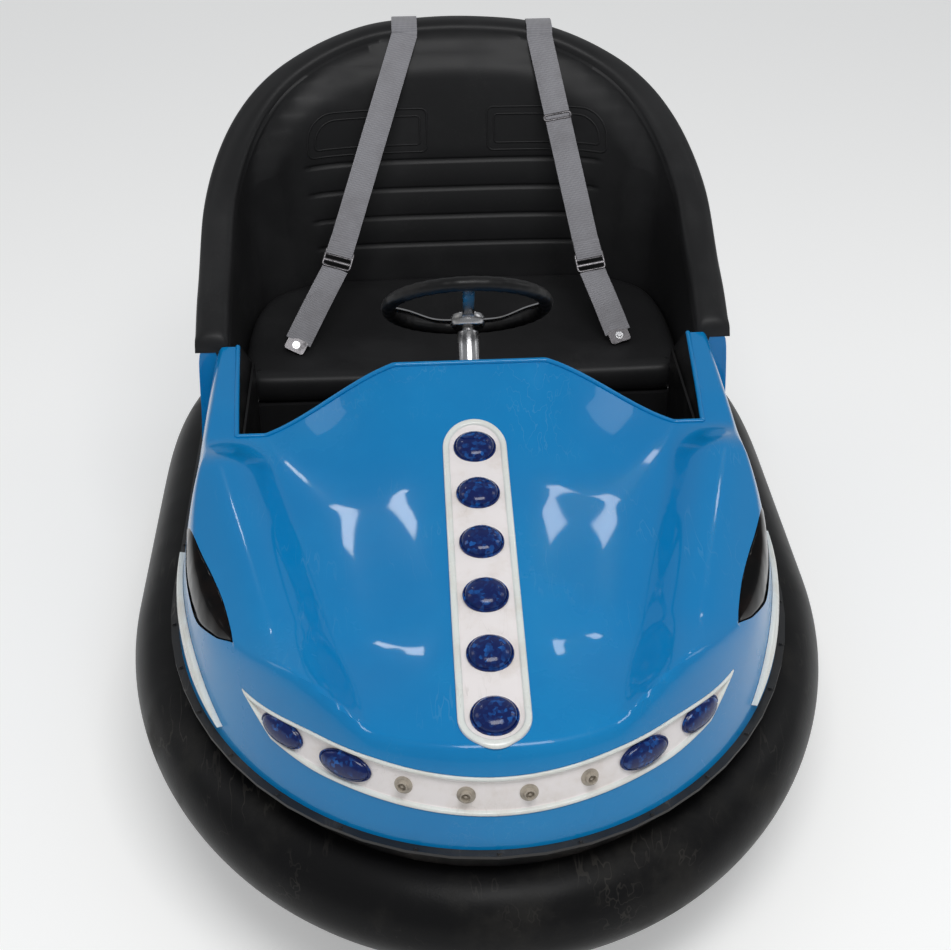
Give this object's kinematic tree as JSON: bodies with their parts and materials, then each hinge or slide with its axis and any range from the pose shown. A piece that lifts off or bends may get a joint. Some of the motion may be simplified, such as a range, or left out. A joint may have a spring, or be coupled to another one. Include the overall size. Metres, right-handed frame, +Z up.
{
  "type": "bumper car",
  "caption": "Two-seat fairground bumper car with a rubber bumper ring, a moulded body and seat, a steered drive wheel and free rear wheels.",
  "frame": {"origin": "on the floor under the middle of the car's box", "axes": "-Y is the way the car drives forward, +X is its left side, +Z is up"},
  "size_m": [1.176, 1.786, 0.97],
  "materials": {
    "body_blue": "gloss gelcoat on moulded fibreglass",
    "panel_white": "white moulded panel, semi-gloss",
    "lamp_blue": "deep blue translucent lens, gloss",
    "gloss_black": "high gloss black insert",
    "moulded_black": "black moulded plastic with a fine grain",
    "bumper_rubber": "matt black rubber, scuffed",
    "frame_paint": "black paint on welded steel",
    "bright_steel": "bright zinc-plated and turned steel",
    "tyre_rubber": "solid rubber tyre",
    "belt_webbing": "grey woven polyester webbing"
  },
  "bodies": {
    "root": {"chassis_frame": "frame_paint", "front_bridge": "frame_paint", "bumper_ring": "bumper_rubber", "bumper_band": "frame_paint", "front_body": "body_blue", "rear_body": "body_blue", "footwell_liner": "moulded_black", "dash_panel": "moulded_black", "bench_base": "moulded_black", "accelerator_pedal": "frame_paint", "battery_block": "moulded_black", "seat_shell": "moulded_black", "seat_back": "moulded_black", "seat_cushion": "moulded_black", "hood_lamp_panel": "panel_white", "hood_lamp_1": "lamp_blue", "hood_lamp_2": "lamp_blue", "hood_lamp_3": "lamp_blue", "hood_lamp_4": "lamp_blue", "hood_lamp_5": "lamp_blue", "hood_lamp_6": "lamp_blue", "front_lamp_strip": "panel_white", "front_lamp_left_outer": "lamp_blue", "front_lamp_left_inner": "lamp_blue", "front_lamp_right_outer": "lamp_blue", "front_lamp_right_inner": "lamp_blue", "headlight_left": "gloss_black", "headlight_right": "gloss_black", "side_trim_left": "panel_white", "side_trim_right": "panel_white", "belt_left": "belt_webbing", "belt_right": "belt_webbing", "belt_adjuster_left": "bright_steel", "belt_adjuster_right": "bright_steel", "belt_end_left": "belt_webbing", "belt_end_right": "belt_webbing", "belt_anchor_left": "bright_steel", "belt_anchor_right": "bright_steel", "column_tube": "bright_steel", "steering_chain": "bright_steel", "rear_axle": "frame_paint"},
    "steering_wheel": {"wheel_rim": "moulded_black", "wheel_spokes": "bright_steel", "steering_shaft": "bright_steel"},
    "pinion": {"pinion_shaft": "bright_steel"},
    "drive_unit": {"drive_fork": "frame_paint", "drive_motor": "frame_paint"},
    "drive_wheel": {"drive_tyre": "tyre_rubber", "drive_hub": "bright_steel"},
    "rear_wheel_left": {"rear_tyre_left": "tyre_rubber", "rear_hub_left": "bright_steel"},
    "rear_wheel_right": {"rear_tyre_right": "tyre_rubber", "rear_hub_right": "bright_steel"}
  },
  "joints": [
    {"name": "drive_steer", "type": "hinge", "parent": "root", "child": "drive_unit", "pos_m": [0, -0.47, 0.26], "axis": [0, 0, 1], "continuous": true},
    {"name": "pinion_turn", "type": "hinge", "parent": "root", "child": "pinion", "pos_m": [0, -0.22, 0.29], "axis": [0, 0, 1], "continuous": true},
    {"name": "steering_wheel_turn", "type": "hinge", "parent": "root", "child": "steering_wheel", "pos_m": [0, 0.036, 0.712], "axis": [0, 0.676, 0.7369], "continuous": true},
    {"name": "drive_wheel_roll", "type": "hinge", "parent": "drive_unit", "child": "drive_wheel", "pos_m": [0, -0.47, 0.105], "axis": [1, 0, 0], "continuous": true},
    {"name": "rear_wheel_left_roll", "type": "hinge", "parent": "root", "child": "rear_wheel_left", "pos_m": [0.385, 0.52, 0.085], "axis": [1, 0, 0], "continuous": true},
    {"name": "rear_wheel_right_roll", "type": "hinge", "parent": "root", "child": "rear_wheel_right", "pos_m": [-0.385, 0.52, 0.085], "axis": [1, 0, 0], "continuous": true}
  ],
  "couplings": [
    {"joint": "pinion_turn", "follows": "drive_steer", "ratio": 1},
    {"joint": "steering_wheel_turn", "follows": "drive_steer", "ratio": 1}
  ]
}
